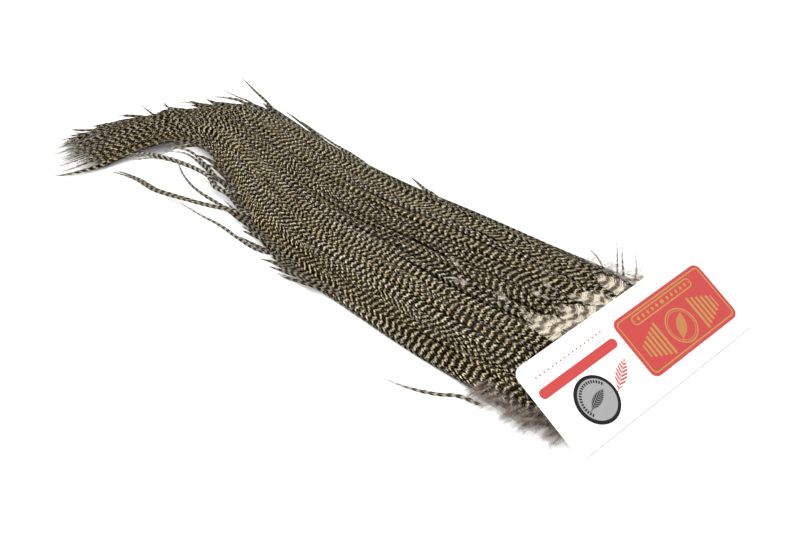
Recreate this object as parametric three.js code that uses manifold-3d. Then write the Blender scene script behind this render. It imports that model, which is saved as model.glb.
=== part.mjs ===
// Rooster saddle patch on its folded display card, in millimetres, +Z up.
// Places are first given from the card's fold: X runs from the feather tips to the fold at x = 0,
// Y runs across the card from its near edge at y = 0, and Z rises from the surface that it lies on.
// The finished group is then moved so that its origin is at the middle of its footprint.
import * as THREE from 'three';
import { mergeVertices } from 'three/addons/utils/BufferGeometryUtils.js';
import Module from 'manifold-3d';

const wasm = await Module();
wasm.setup();

// Card: one sheet with its header flap folded back over the butt of the patch
const CARD_WIDTH = 127;
const CARD_LENGTH = 343;
const CARD_THICKNESS = 0.5;
const FOLD_RADIUS = 0.4;
const FOLD_RISE = 1.2;
const FOLD_RISE_START = -60;
const FAR_LIFT = 10.4;
const FAR_LIFT_START = -215;
const FLAP_DEPTH = 47.4;
const FLAP_ANGLE = THREE.MathUtils.degToRad(33.4);
const CORNER_RADIUS = 5;
const CORNER_CUT_DEPTH = 12;
const FAR_STEPS = 8;
const RISE_STEPS = 4;
const FOLD_STEPS = 6;

// Stickers on the flap, placed by y along the fold and by distance from the fold
const LABEL = { from: 58.5, to: 122.5, low: 7.4, high: 39.4, corner: 4 };
const GRADE_STICKER = { along: 26.1, up: 16, radius: 11.6 };
const STICKER_THICKNESS = 0.3;
const GAP = 0.3;

// Feather sheaf: rows across it from the butt to the tips, near edge, far edge, underside and depth
const SHEAF_ROWS = [
  { near: [-14, 12], far: [-14, 98], base: 2.4, depth: 4.5 },
  { near: [-30, 4], far: [-30, 109], base: 1.8, depth: 15 },
  { near: [-60, 2], far: [-60, 113], base: 1.1, depth: 18 },
  { near: [-105, 1], far: [-105, 110], base: 0.9, depth: 17.5 },
  { near: [-160, 3], far: [-160, 107], base: 0.9, depth: 16 },
  { near: [-210, 5], far: [-213, 103], base: 1.0, depth: 14 },
  { near: [-255, 16], far: [-262, 101], base: 2.6, depth: 12 },
  { near: [-299, 34], far: [-308, 99], base: 6.8, depth: 10.5 },
  { near: [-330, 41], far: [-345, 89], base: 11.8, depth: 8 },
  { near: [-351, 37], far: [-369, 73], base: 10.2, depth: 6.5 },
  { near: [-363, 26], far: [-389, 56], base: 7, depth: 7 },
  { near: [-370, 11], far: [-406, 32], base: 4, depth: 7 },
  { near: [-374, -6], far: [-417, 8], base: 1.8, depth: 6 },
  { near: [-381, -22], far: [-422, -9], base: 0.9, depth: 4 },
  { near: [-393, -38], far: [-426, -26], base: 0.6, depth: 2 },
];
const BODY_END = 0.93;
const BODY_STATIONS = 16;
const UNDERSIDE_SIDES = 8;
const DOME_POWER = 2.6;

// Locks of hackle: long ones side by side make the sheaf and its tail, shorter ones end on top of it
const LONG_LOCKS = 28;
const LONG_LOCK_RIDGE = 1.2;
const LONG_TIP = { start: 0.85, width: 2.6, thickness: 2, steps: 3 };
const LONG_TIP_END = [0.96, 1];
const SHORT_LOCKS = 12;
const SHORT_LOCK = { start: 0.1, width: 6.4, thickness: 3.4, steps: 5 };
const SHORT_LOCK_END = [0.4, 0.82];
const SHORT_LOCK_DRIFT = 0.03;
const SHORT_LOCK_MARGIN = 0.06;
const LOCK_SIDES = 4;
const LOCK_SINK = 0.3;
const ROOT_SCALE = 0.55;
const ROOT_GROWTH = 3;
const TIP_SCALE = 0.12;
const EDGE_SHARE = 0.015;
const SHEAF_ROOM = 2.1;

// Single hackles that stand out of the sheaf, each from its root to its tip
const STRAY_WIDTH = 2.6;
const STRAY_THICKNESS = 0.8;
const STRAY_STEPS = 7;
const STRAYS = {
  stray_hackle_card_corner: [[-240, 24, 7], [-261, 15, 8], [-280, 7, 8], [-300, 0, 8.5], [-316, -5, 9],
    [-333, -6, 9.5], [-347, -7, 8], [-358, -8, 6]],
  stray_hackle_card_edge: [[-210, 10, 4], [-229, 2, 4], [-262, 2, 5], [-280, 0, 6], [-296, -1, 7]],
  stray_hackle_long_bundle: [[-262, 32, 10], [-287, 21, 9], [-303, 24, 11], [-321, 21, 13], [-335, 15, 15],
    [-347, 12, 13], [-361, 6, 9]],
  stray_hackle_upper_bundle: [[-270, 34, 10], [-292, 27, 10], [-312, 29, 13], [-330, 30, 15],
    [-344, 24, 15]],
  stray_hackle_curl: [[-252, 22, 5], [-270, 16, 5], [-284, 14, 6], [-300, 13, 8], [-316, 16, 9.3],
    [-331, 22, 11]],
  stray_hackle_over_tail: [[-386, 51, 19.5], [-370, 46, 20.5], [-353, 41, 18], [-334, 42, 15]],
  stray_hackle_outer_long: [[-325, 98, 20], [-343, 103, 17], [-366, 109, 12], [-394, 119, 8]],
  stray_hackle_outer_second: [[-335, 94, 22], [-356, 95, 18], [-372, 99, 13], [-396, 102, 6]],
  stray_hackle_outer_third: [[-352, 85, 21], [-370, 88, 17], [-395, 86, 7]],
  stray_hackle_outer_fourth: [[-362, 70, 19], [-381, 76, 14], [-400, 70, 6]],
  stray_hackle_outer_fifth: [[-370, 58, 17], [-389, 66, 13], [-410, 62, 4]],
  stray_hackle_outer_sixth: [[-378, 46, 15], [-399, 50, 11], [-421, 53, 4]],
  stray_hackle_far_side: [[-240, 96, 14], [-260, 104, 12], [-283, 107, 9], [-306, 110, 8]],
  stray_hackle_far_short: [[-184, 100, 15], [-199, 107, 11], [-215, 110, 8]],
  stray_hackle_flap_tall: [[-50, 98, 15], [-55, 106, 20], [-60, 111, 23], [-67, 117, 24]],
  stray_hackle_flap_thin: [[-58, 100, 17], [-66, 109, 18], [-71, 115, 20], [-76, 120, 20]],
  stray_hackle_flap_short: [[-62, 100, 18], [-71, 111, 20], [-78, 119, 21]],
  stray_hackle_flap_low: [[-72, 100, 17], [-82, 106, 16], [-93, 110, 14]],
  stray_hackle_near_side: [[-168, 8, 4], [-182, 1, 4], [-203, -4, 3]],
  stray_hackle_lone: [[-63, -10, 7], [-73, -15, 5.5], [-87, -19, 3.5], [-104, -22, 2]],
};

// Down at the butt: rows of soft lobes that spill over the card's edges
const NEAR_DOWN = {
  from: [-17, 8], to: [-68, 8], layers: [4, 8.5], lobes: 6, reach: 22, width: 11, thickness: 5,
};
const FAR_DOWN = {
  from: [-50, 105], to: [-86, 105], layers: [12], lobes: 5, reach: 14, width: 10, thickness: 6,
};
const LOBE_SIDES = 4;
const LOBE_STEPS = 3;
const LOBE_FALL = 0.35;
const LOBE_LEAN = 0.35;
const LOBE_ARCH = 0.5;
const LOBE_LOWEST = 2;
const LOBE_ROOT = 0.3;
const LOBE_TIP = 0.25;
const SHORTEST_LOBE = 0.7;
const TUFT_END = 0.55;

const CARD_COLOUR = 0xf4f4f2;
const LABEL_COLOUR = 0xd9433c;
const STICKER_COLOUR = 0x9d9e9c;
const HACKLE_COLOUR = 0x6b5f47;
const DOWN_COLOUR = 0x8d8072;

const foldReach = FOLD_RADIUS + CARD_THICKNESS / 2;
const flapDirection = new THREE.Vector3(-Math.cos(FLAP_ANGLE), 0, Math.sin(FLAP_ANGLE));
const flapNormal = new THREE.Vector3(Math.sin(FLAP_ANGLE), 0, Math.cos(FLAP_ANGLE));
const golden = (Math.sqrt(5) - 1) / 2;

// A share from 0 to 1 that scatters evenly as the index grows
function scatter(index) {
  return (index * golden) % 1;
}

// Solids for joining and cutting, and back again
function toSolid(geometry) {
  const bare = geometry.clone();
  bare.deleteAttribute('normal');
  bare.deleteAttribute('uv');
  const merged = mergeVertices(bare, 1e-4);
  const vertProperties = new Float32Array(merged.attributes.position.array);
  const triVerts = new Uint32Array(merged.index.array);
  return new wasm.Manifold(new wasm.Mesh({ numProp: 3, vertProperties, triVerts }));
}

function toGeometry(solid) {
  const mesh = solid.getMesh();
  const geometry = new THREE.BufferGeometry();
  geometry.setAttribute('position', new THREE.BufferAttribute(mesh.vertProperties, 3));
  geometry.setIndex(new THREE.BufferAttribute(mesh.triVerts, 1));
  geometry.computeVertexNormals();
  return geometry;
}

// Several solids fused into one, with any hollow sealed between them filled
function fuse(solids) {
  const shells = wasm.Manifold.union(solids).decompose();
  return shells.reduce((best, shell) => (shell.volume() > best.volume() ? shell : best));
}

// Height of the card's underside over the surface that it lies on
function cardRise(x) {
  if (x < FAR_LIFT_START) {
    return FAR_LIFT * ((x - FAR_LIFT_START) / (CARD_LENGTH + FAR_LIFT_START)) ** 2;
  }
  if (x > FOLD_RISE_START) {
    return FOLD_RISE * ((x - FOLD_RISE_START) / -FOLD_RISE_START) ** 2;
  }
  return 0;
}

// The fold's turning centre, at the near edge
const foldCentre = new THREE.Vector3(-foldReach, 0, cardRise(-foldReach) + foldReach);

// The sheet's mid line, seen along the fold: far end, flat stretch, fold and flap
function cardMidLine() {
  const half = CARD_THICKNESS / 2;
  const line = [];
  for (let i = 0; i <= FAR_STEPS; i += 1) {
    const x = THREE.MathUtils.lerp(-CARD_LENGTH, FAR_LIFT_START, i / FAR_STEPS);
    line.push(new THREE.Vector2(x, cardRise(x) + half));
  }
  for (let i = 0; i < RISE_STEPS; i += 1) {
    const x = THREE.MathUtils.lerp(FOLD_RISE_START, -foldReach, i / RISE_STEPS);
    line.push(new THREE.Vector2(x, cardRise(x) + half));
  }
  for (let i = 0; i <= FOLD_STEPS; i += 1) {
    const angle = -Math.PI / 2 + (i / FOLD_STEPS) * (Math.PI - FLAP_ANGLE);
    const x = foldCentre.x + FOLD_RADIUS * Math.cos(angle);
    line.push(new THREE.Vector2(x, foldCentre.z + FOLD_RADIUS * Math.sin(angle)));
  }
  const crease = line[line.length - 1];
  const flap = new THREE.Vector2(flapDirection.x, flapDirection.z).multiplyScalar(FLAP_DEPTH);
  line.push(crease.clone().add(flap));
  return line;
}

// A mid line given its thickness on both sides, as a closed outline
function thicken(line, thickness) {
  const outer = [];
  const inner = [];
  line.forEach((point, i) => {
    const before = line[Math.max(i - 1, 0)];
    const after = line[Math.min(i + 1, line.length - 1)];
    const along = after.clone().sub(before).normalize();
    const side = new THREE.Vector2(along.y, -along.x).multiplyScalar(thickness / 2);
    outer.push(point.clone().add(side));
    inner.push(point.clone().sub(side));
  });
  return new THREE.Shape([...outer, ...inner.reverse()]);
}

// What rounding takes off a square corner at 0, 0 of a sheet that lies towards +x and +y, as a prism
function cornerWaste() {
  const radius = CORNER_RADIUS;
  const margin = 1;
  const shape = new THREE.Shape();
  shape.moveTo(-margin, -margin);
  shape.lineTo(radius, -margin);
  shape.lineTo(radius, 0);
  shape.absarc(radius, radius, radius, -Math.PI / 2, -Math.PI, true);
  shape.lineTo(-margin, radius);
  shape.closePath();
  const settings = { depth: CORNER_CUT_DEPTH, bevelEnabled: false, curveSegments: 5 };
  return new THREE.ExtrudeGeometry(shape, settings).translate(0, 0, -CORNER_CUT_DEPTH / 2);
}

function backingCard() {
  const section = thicken(cardMidLine(), CARD_THICKNESS);
  const sheet = new THREE.ExtrudeGeometry(section, { depth: CARD_WIDTH, bevelEnabled: false });
  sheet.rotateX(Math.PI / 2);
  sheet.translate(0, CARD_WIDTH, 0);
  let card = toSolid(sheet);

  const flapTip = cardMidLine().pop();
  const flapEdge = new THREE.Vector3(flapTip.x, 0, flapTip.y);
  const endEdge = new THREE.Vector3(-CARD_LENGTH, 0, cardRise(-CARD_LENGTH));
  const edges = [
    { at: flapEdge, inward: flapDirection.clone().negate(), normal: flapNormal },
    { at: endEdge, inward: new THREE.Vector3(1, 0, 0), normal: new THREE.Vector3(0, 0, 1) },
  ];
  for (const { at, inward, normal } of edges) {
    for (const side of [1, -1]) {
      const waste = cornerWaste();
      const across = new THREE.Vector3(0, side, 0);
      const place = side > 0
        ? new THREE.Matrix4().makeBasis(inward, across, normal)
        : new THREE.Matrix4().makeBasis(across, inward, normal);
      place.setPosition(at.x, side > 0 ? 0 : CARD_WIDTH, at.z);
      waste.applyMatrix4(place);
      card = card.subtract(toSolid(waste));
    }
  }
  return toGeometry(card);
}

// Stickers are flat plates just over the flap
function roundedRectangle(x0, y0, x1, y1, radius) {
  const shape = new THREE.Shape();
  shape.moveTo(x0 + radius, y0);
  shape.lineTo(x1 - radius, y0);
  shape.absarc(x1 - radius, y0 + radius, radius, -Math.PI / 2, 0, false);
  shape.lineTo(x1, y1 - radius);
  shape.absarc(x1 - radius, y1 - radius, radius, 0, Math.PI / 2, false);
  shape.lineTo(x0 + radius, y1);
  shape.absarc(x0 + radius, y1 - radius, radius, Math.PI / 2, Math.PI, false);
  shape.lineTo(x0, y0 + radius);
  shape.absarc(x0 + radius, y0 + radius, radius, Math.PI, 1.5 * Math.PI, false);
  return shape;
}

// A flat shape made a plate on the flap: its x is the distance from the fold, and its -y runs along it
function onFlap(shape) {
  const settings = { depth: STICKER_THICKNESS, bevelEnabled: false, curveSegments: 6 };
  const plate = new THREE.ExtrudeGeometry(shape, settings);
  const place = new THREE.Matrix4().makeBasis(flapDirection, new THREE.Vector3(0, -1, 0), flapNormal);
  place.setPosition(foldCentre.clone().addScaledVector(flapNormal, foldReach + GAP));
  return plate.applyMatrix4(place);
}

function labelSticker() {
  return onFlap(roundedRectangle(LABEL.low, -LABEL.to, LABEL.high, -LABEL.from, LABEL.corner));
}

function gradeSticker() {
  const shape = new THREE.Shape();
  shape.absarc(GRADE_STICKER.up, -GRADE_STICKER.along, GRADE_STICKER.radius, 0, 2 * Math.PI, false);
  return onFlap(shape);
}

// The sheaf's rows as smooth curves, all read by the same share s of the way from butt to tips
const nearEdge = new THREE.CatmullRomCurve3(SHEAF_ROWS.map((r) => new THREE.Vector3(...r.near, r.base)));
const farEdge = new THREE.CatmullRomCurve3(SHEAF_ROWS.map((r) => new THREE.Vector3(...r.far, r.base)));
const depths = new THREE.CatmullRomCurve3(SHEAF_ROWS.map((r, i) => new THREE.Vector3(i, r.depth, 0)));

// A point of the sheaf: u is the share across it, s the share along it, rise a share of the dome over it
function sheafPoint(u, s, rise) {
  const share = THREE.MathUtils.clamp(s, 0, 1);
  const point = nearEdge.getPoint(share).lerp(farEdge.getPoint(share), u);
  const dome = Math.max(1 - Math.abs(2 * u - 1) ** DOME_POWER, 0) ** 0.5;
  point.z += rise * depths.getPoint(share).y * dome;
  return point;
}

// The sheaf's body: ridges of long locks over a smooth underside, made larger all round by a margin
function sheafBody(ridge, margin) {
  const ridgeSides = 2 * LONG_LOCKS;
  const sides = ridgeSides + UNDERSIDE_SIDES;
  const tube = new THREE.CylinderGeometry(1, 1, 1, sides, BODY_STATIONS);
  const position = tube.attributes.position;
  for (let i = 0; i < position.count; i += 1) {
    const s = (0.5 - position.getY(i)) * BODY_END;
    const x = position.getX(i);
    const z = position.getZ(i);
    const onAxis = Math.hypot(x, z) < 0.5;
    const turn = Math.round((Math.atan2(x, z) / (2 * Math.PI) + 1) * sides) % sides;
    const onTop = turn <= ridgeSides;
    const u = onTop ? 1 - turn / ridgeSides : (turn - ridgeSides) / UNDERSIDE_SIDES;
    const across = farEdge.getPoint(s).sub(nearEdge.getPoint(s)).normalize();
    const point = onAxis ? sheafPoint(0.5, s, 0.5) : sheafPoint(u, s, onTop ? 1 : 0);
    if (!onAxis) {
      const atEdge = turn === 0 || turn === ridgeSides;
      const height = onTop && turn % 2 === 1 ? ridge : 0;
      const above = onTop ? height + margin : -margin;
      point.addScaledVector(across, (2 * u - 1) * margin);
      point.z += atEdge ? 0 : above;
    }
    position.setXYZ(i, point.x, point.y, point.z);
  }
  return toSolid(tube);
}

// A tapered blade with its section across a path; frame gives place, side and normal at a share t of it
function blade(frame, width, thickness, sides, steps) {
  const tube = new THREE.CylinderGeometry(1, 1, 1, sides, steps);
  const position = tube.attributes.position;
  for (let i = 0; i < position.count; i += 1) {
    const t = 0.5 - position.getY(i);
    const { at, side, normal } = frame(t);
    const point = at.clone();
    point.addScaledVector(side, -position.getX(i) * width(t) / 2);
    point.addScaledVector(normal, position.getZ(i) * thickness(t) / 2);
    position.setXYZ(i, point.x, point.y, point.z);
  }
  return toSolid(tube);
}

// Full near the root and drawn out to a fine tip
function taper(t) {
  const root = Math.min(1, ROOT_SCALE + ROOT_GROWTH * t);
  return root * THREE.MathUtils.lerp(1, TIP_SCALE, t ** 3);
}

// A lock on the dome from its start to its tip, both shares along it, drifting across from u0
function lock(u0, drift, tip, { start, width, thickness, steps }) {
  const step = 0.01;
  const frame = (t) => {
    const s = THREE.MathUtils.lerp(start, tip, t);
    const u = THREE.MathUtils.clamp(u0 + drift * t * t, EDGE_SHARE, 1 - EDGE_SHARE);
    const at = sheafPoint(u, s, 1);
    const side = sheafPoint(u + step, s, 1).sub(sheafPoint(u - step, s, 1)).normalize();
    const along = sheafPoint(u, s + step, 1).sub(sheafPoint(u, s - step, 1)).normalize();
    const normal = side.clone().cross(along).normalize();
    at.addScaledVector(normal, -LOCK_SINK);
    return { at, side, normal };
  };
  return blade(frame, (t) => width * taper(t), (t) => thickness * taper(t), LOCK_SIDES, steps);
}

function hackleSheaf() {
  const parts = [sheafBody(LONG_LOCK_RIDGE, 0)];
  for (let i = 0; i < LONG_LOCKS; i += 1) {
    const tip = THREE.MathUtils.lerp(...LONG_TIP_END, scatter(i + 1));
    parts.push(lock((i + 0.5) / LONG_LOCKS, 0, tip, LONG_TIP));
  }
  for (let i = 0; i < SHORT_LOCKS; i += 1) {
    const u = THREE.MathUtils.lerp(SHORT_LOCK_MARGIN, 1 - SHORT_LOCK_MARGIN, (i + 0.5) / SHORT_LOCKS);
    const drift = SHORT_LOCK_DRIFT * (scatter(i) - 0.5);
    const tip = THREE.MathUtils.lerp(...SHORT_LOCK_END, scatter(i + 3));
    parts.push(lock(u, drift, tip, SHORT_LOCK));
  }
  return toGeometry(fuse(parts));
}

// Room that the sheaf and its locks need, kept clear by what grows beside them
const sheafRoom = sheafBody(0, SHEAF_ROOM);

// The largest piece of a solid once the sheaf's room is cut from it
function besideSheaf(solid) {
  return fuse([solid.subtract(sheafRoom)]);
}

// A frame that follows a path with its side level
function levelFrame(path) {
  const up = new THREE.Vector3(0, 0, 1);
  return (t) => {
    const along = path.getTangent(t);
    const side = along.clone().cross(up).normalize();
    return { at: path.getPoint(t), side, normal: side.clone().cross(along) };
  };
}

function strayHackle(points) {
  const path = new THREE.CatmullRomCurve3(points.map((point) => new THREE.Vector3(...point)));
  const width = (t) => STRAY_WIDTH * taper(t);
  const thickness = (t) => STRAY_THICKNESS * taper(t);
  return toGeometry(besideSheaf(blade(levelFrame(path), width, thickness, LOCK_SIDES, STRAY_STEPS)));
}

// Full soon after the root and rounded off at the tip
function swell(t) {
  const bulge = Math.sin(Math.PI * THREE.MathUtils.lerp(LOBE_ROOT, 1, t));
  return LOBE_TIP + (1 - LOBE_TIP) * bulge;
}

// One lobe of down that leans towards the tips and falls outward from its root
function lobe(root, length, outward, width, thickness) {
  const middle = root.clone().add(new THREE.Vector3(0, outward * length / 2, LOBE_ARCH));
  const reach = new THREE.Vector3(-LOBE_LEAN, outward, -LOBE_FALL).multiplyScalar(length);
  const tip = root.clone().add(reach);
  tip.z = Math.max(tip.z, LOBE_LOWEST);
  const frame = levelFrame(new THREE.CatmullRomCurve3([root, middle, tip]));
  return blade(frame, (t) => width * swell(t), (t) => thickness * swell(t), LOBE_SIDES, LOBE_STEPS);
}

// Lobes of down side by side, longest in the middle; outward is -1 to the near edge and 1 to the far one
function downTuft({ from, to, layers, lobes, reach, width, thickness }, outward) {
  const parts = [];
  for (const height of layers) {
    for (let i = 0; i < lobes; i += 1) {
      const share = (i + 0.5) / lobes;
      const start = new THREE.Vector3(...from, height);
      const root = start.lerp(new THREE.Vector3(...to, height), share);
      const uneven = THREE.MathUtils.lerp(SHORTEST_LOBE, 1, scatter(i + height));
      const fullness = THREE.MathUtils.lerp(TUFT_END, 1, Math.sin(Math.PI * share));
      parts.push(lobe(root, reach * uneven * fullness, outward, width, thickness));
    }
  }
  return toGeometry(besideSheaf(fuse(parts)));
}

const patch = new THREE.Group();

function add(name, geometry, colour, roughness) {
  const material = new THREE.MeshStandardMaterial({ color: colour, roughness, metalness: 0 });
  const mesh = new THREE.Mesh(geometry, material);
  mesh.name = name;
  patch.add(mesh);
}

add('backing_card', backingCard(), CARD_COLOUR, 0.6);
add('label_sticker', labelSticker(), LABEL_COLOUR, 0.35);
add('grade_sticker', gradeSticker(), STICKER_COLOUR, 0.4);
add('hackle_sheaf', hackleSheaf(), HACKLE_COLOUR, 0.7);
add('near_down', downTuft(NEAR_DOWN, -1), DOWN_COLOUR, 0.9);
add('far_down', downTuft(FAR_DOWN, 1), DOWN_COLOUR, 0.9);
for (const [name, points] of Object.entries(STRAYS)) {
  add(name, strayHackle(points), HACKLE_COLOUR, 0.7);
}

const box = new THREE.Box3().setFromObject(patch);
const middle = box.getCenter(new THREE.Vector3());
patch.position.set(-middle.x, -middle.y, -box.min.z);

const root = new THREE.Group();
root.add(patch);

export default root;
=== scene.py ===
import math
import bmesh
import bpy
import numpy as np
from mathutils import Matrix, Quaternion, Vector


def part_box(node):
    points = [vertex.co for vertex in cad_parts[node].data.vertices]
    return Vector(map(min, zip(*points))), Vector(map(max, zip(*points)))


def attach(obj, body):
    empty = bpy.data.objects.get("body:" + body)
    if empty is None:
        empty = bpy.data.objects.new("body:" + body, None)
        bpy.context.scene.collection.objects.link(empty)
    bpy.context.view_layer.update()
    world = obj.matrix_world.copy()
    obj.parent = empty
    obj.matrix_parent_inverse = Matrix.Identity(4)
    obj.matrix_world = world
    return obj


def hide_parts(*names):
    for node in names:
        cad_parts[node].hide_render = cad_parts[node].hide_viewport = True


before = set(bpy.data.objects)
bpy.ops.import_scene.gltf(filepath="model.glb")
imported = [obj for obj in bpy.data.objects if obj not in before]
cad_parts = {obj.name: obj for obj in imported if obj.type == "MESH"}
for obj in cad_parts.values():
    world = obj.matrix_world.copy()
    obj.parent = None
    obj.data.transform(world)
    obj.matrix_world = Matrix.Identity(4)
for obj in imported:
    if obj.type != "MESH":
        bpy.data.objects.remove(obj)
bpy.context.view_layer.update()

# Studio: a pale floor under two large soft lights, seen from the near corner of the fold.
# Places are in millimetres from the near end of the fold: x towards it from the feather tips,
# y across the card, z up from the floor.
CAMERA_PLACE = (235.0, -293.5, 374.4)
CAMERA_AIM = (-163.4, 46.9, 0.0)
CAMERA_ROLL = math.radians(-4.47)
CAMERA_LENS = 54.86
SENSOR_WIDTH = 36.0
FLOOR_SIZE = 9.0
FLOOR_WHITE = (0.93, 0.93, 0.935, 1.0)
FLOOR_ROUGHNESS = 0.9
SKY_WHITE = (1.0, 1.0, 1.0, 1.0)
SKY_STRENGTH = 1.15
LIGHTS = {
    "key": {"place": (-220.0, 120.0, 1000.0), "size": 1.1, "power": 7.5},
    "fill": {"place": (40.0, -760.0, 420.0), "size": 1.0, "power": 9.0},
}

card_low, card_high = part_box("backing_card")
fold_near_end = np.array([card_high.x, card_low.y, 0.0])


def from_fold(millimetres):
    """Points given in millimetres from the fold's near end, in metres in the frame."""
    return fold_near_end + np.asarray(millimetres, float) / 1000


def link(name, data):
    made = bpy.data.objects.new(name, data)
    bpy.context.scene.collection.objects.link(made)
    return made


camera_data = bpy.data.cameras.new("camera")
camera_data.sensor_width = SENSOR_WIDTH
camera_data.lens = CAMERA_LENS
camera = link("camera", camera_data)
camera.location = from_fold(CAMERA_PLACE)
gaze = Vector(from_fold(CAMERA_AIM)) - camera.location
camera.rotation_mode = "QUATERNION"
camera.rotation_quaternion = gaze.to_track_quat("-Z", "Y") @ Quaternion((0, 0, 1), CAMERA_ROLL)
bpy.context.scene.camera = camera
bpy.context.scene.view_settings.view_transform = "Standard"


class Wire:
    """A node's output, which Python sums turn into Math nodes."""

    def __init__(self, graph, socket):
        self.graph = graph
        self.socket = socket

    def other(self, name):
        return Wire(self.graph, pick(self.socket.node.outputs, name))

    def math(self, operation, *others):
        return self.graph.node("ShaderNodeMath", {"operation": operation}, [self, *others])

    def __add__(self, other):
        return self.math("ADD", other)

    def __sub__(self, other):
        return self.math("SUBTRACT", other)

    def __mul__(self, other):
        return self.math("MULTIPLY", other)

    def __rsub__(self, other):
        return self.math("MULTIPLY", -1).math("ADD", other)

    __radd__ = __add__
    __rmul__ = __mul__


def pick(sockets, key):
    """A socket by its place, or the one in use by its name."""
    if isinstance(key, int):
        return sockets[key]
    return next(s for s in sockets if s.enabled and s.name == key)


class Graph:
    """A node tree, and the one way in which its nodes are made."""

    def __init__(self, tree):
        self.tree = tree

    def node(self, kind, settings=None, values=(), output=0):
        made = self.tree.nodes.new(kind)
        for name, value in (settings or {}).items():
            setattr(made, name, value)
        named = values.items() if isinstance(values, dict) else enumerate(values)
        for key, value in named:
            socket = pick(made.inputs, key)
            if isinstance(value, Wire):
                self.tree.links.new(value.socket, socket)
            else:
                socket.default_value = value
        return Wire(self, pick(made.outputs, output)) if made.outputs else made


def material_graph(name):
    """A new material without nodes, and the graph that its nodes go in."""
    made = bpy.data.materials.new(name)
    made.use_nodes = True
    made.node_tree.nodes.clear()
    return made, Graph(made.node_tree)


def give_surface(graph, values):
    """One Principled shader with these values, as the material's surface."""
    shader = graph.node("ShaderNodeBsdfPrincipled", {}, values)
    graph.node("ShaderNodeOutputMaterial", {}, {"Surface": shader})


floor_material, graph = material_graph("studio_floor")
give_surface(graph, {"Base Color": FLOOR_WHITE, "Roughness": FLOOR_ROUGHNESS})
half_floor = FLOOR_SIZE / 2
floor_mesh = bpy.data.meshes.new("floor")
floor_corners = [(x, y, 0) for x, y in ((-1, -1), (1, -1), (1, 1), (-1, 1))]
floor_mesh.from_pydata([Vector(corner) * half_floor for corner in floor_corners], [], [(0, 1, 2, 3)])
floor_mesh.materials.append(floor_material)
link("floor", floor_mesh)

sky = bpy.data.worlds.new("sky")
sky.use_nodes = True
sky.node_tree.nodes["Background"].inputs["Color"].default_value = SKY_WHITE
sky.node_tree.nodes["Background"].inputs["Strength"].default_value = SKY_STRENGTH
bpy.context.scene.world = sky

for name, lamp in LIGHTS.items():
    lamp_data = bpy.data.lights.new(name, "AREA")
    lamp_data.size = lamp["size"]
    lamp_data.energy = lamp["power"]
    light = link(name, lamp_data)
    light.location = from_fold(lamp["place"])
    lamp_gaze = Vector(from_fold(CAMERA_AIM)) - light.location
    light.rotation_euler = lamp_gaze.to_track_quat("-Z", "Y").to_euler()

# Backing card: one sheet of white coated board, folded over at the butt as a header flap.
# The flap has a printed bar, two short rules, a row of dots and a small plain feather, all flat ink.
FLAP_ANGLE = math.radians(33.4)
CARD_WIDTH = 0.127
CARD_THICKNESS = 0.0005
EDGE_STRIP = CARD_THICKNESS / 10
FOLD_REACH = 0.00065
FOLD_HEIGHT = 0.00182
FACE_OUT = FOLD_REACH * 0.6
CARD_WHITE = (0.90, 0.90, 0.895, 1.0)
# Painted shade: a grey line along both long cut edges of the card.
EDGE_SHADE_GREY = (0.36, 0.355, 0.34, 1.0)
EDGE_SHADE_SHARE = 0.8
# Painted shade: the card turns grey round the bend of the fold.
FOLD_SHADE_GREY = (0.50, 0.50, 0.50, 1.0)
FOLD_SHADE_SHARE = 0.6
FOLD_SHADE_REACH = 0.0007
SCUFF_GREY = (0.80, 0.80, 0.79, 1.0)
SCUFF_SHARE = 0.05
SCUFFS = {"Scale": 22.0, "Detail": 4.0}
FIBRES = {"Scale": 900.0, "Detail": 3.0}
CARD_GRAIN = {"Strength": 0.12, "Distance": 0.0001}
CARD_ROUGHNESS = {"least": 0.38, "spread": 0.12}
INK_RED = (0.37, 0.024, 0.021, 1.0)
INK_DARK_RED = (0.36, 0.03, 0.045, 1.0)
INK_EDGE = 0.00012
BAR = {"middle": 0.02935, "half": 0.02325, "height": 0.03165, "radius": 0.0025}
RULES = ((0.0086, 0.0051, 0.0355), (0.0500, 0.0056, 0.0356))
RULE_THICKNESS = 0.00035
DOTS = {"from": 0.0065, "to": 0.0535, "up": 0.0392, "pitch": 0.0027, "radius": 0.00055}
CARD_FEATHER = {"middle": 0.0455, "height": 0.0185, "half": 0.0085, "width": 0.0030, "turn": 0.6,
                "pitch": 0.0021}
DRAWN_BARB = {"slant": 1.1, "gap": 0.7}
DRAWN_QUILL = 0.09
DRAWN_STEM = {"middle": -0.15, "half": 1.15, "half_height": 0.07}


def mix(graph, factor, first, second):
    values = {"Factor": factor, "A": first, "B": second}
    return graph.node("ShaderNodeMix", {"data_type": "RGBA"}, values, "Result")


def inside(graph, distance, edge=INK_EDGE):
    """1 where a distance is below zero, with a soft edge."""
    values = {"Value": distance, "From Min": edge, "From Max": -edge}
    return graph.node("ShaderNodeMapRange", {"interpolation_type": "SMOOTHSTEP"}, values)


def flap_places(graph):
    """Object coordinates on the flap: along the fold, up from it, and out from its middle."""
    place = graph.node("ShaderNodeTexCoord", output="Object")
    parts = graph.node("ShaderNodeSeparateXYZ", {}, [place])
    x = parts - (fold_near_end[0] - FOLD_REACH)
    along = parts.other("Y") - fold_near_end[1]
    z = parts.other("Z") - FOLD_HEIGHT
    up = x * -math.cos(FLAP_ANGLE) + z * math.sin(FLAP_ANGLE)
    out = x * math.sin(FLAP_ANGLE) + z * math.cos(FLAP_ANGLE)
    return along, up, out


def length_of(first, second):
    return (first * first + second * second).math("SQRT")


def capsule(along, up, middle, half, height, radius):
    """Distance to a level bar with round ends."""
    beyond = ((along - middle).math("ABSOLUTE") - half).math("MAXIMUM", 0)
    return length_of(beyond, up - height) - radius


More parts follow.
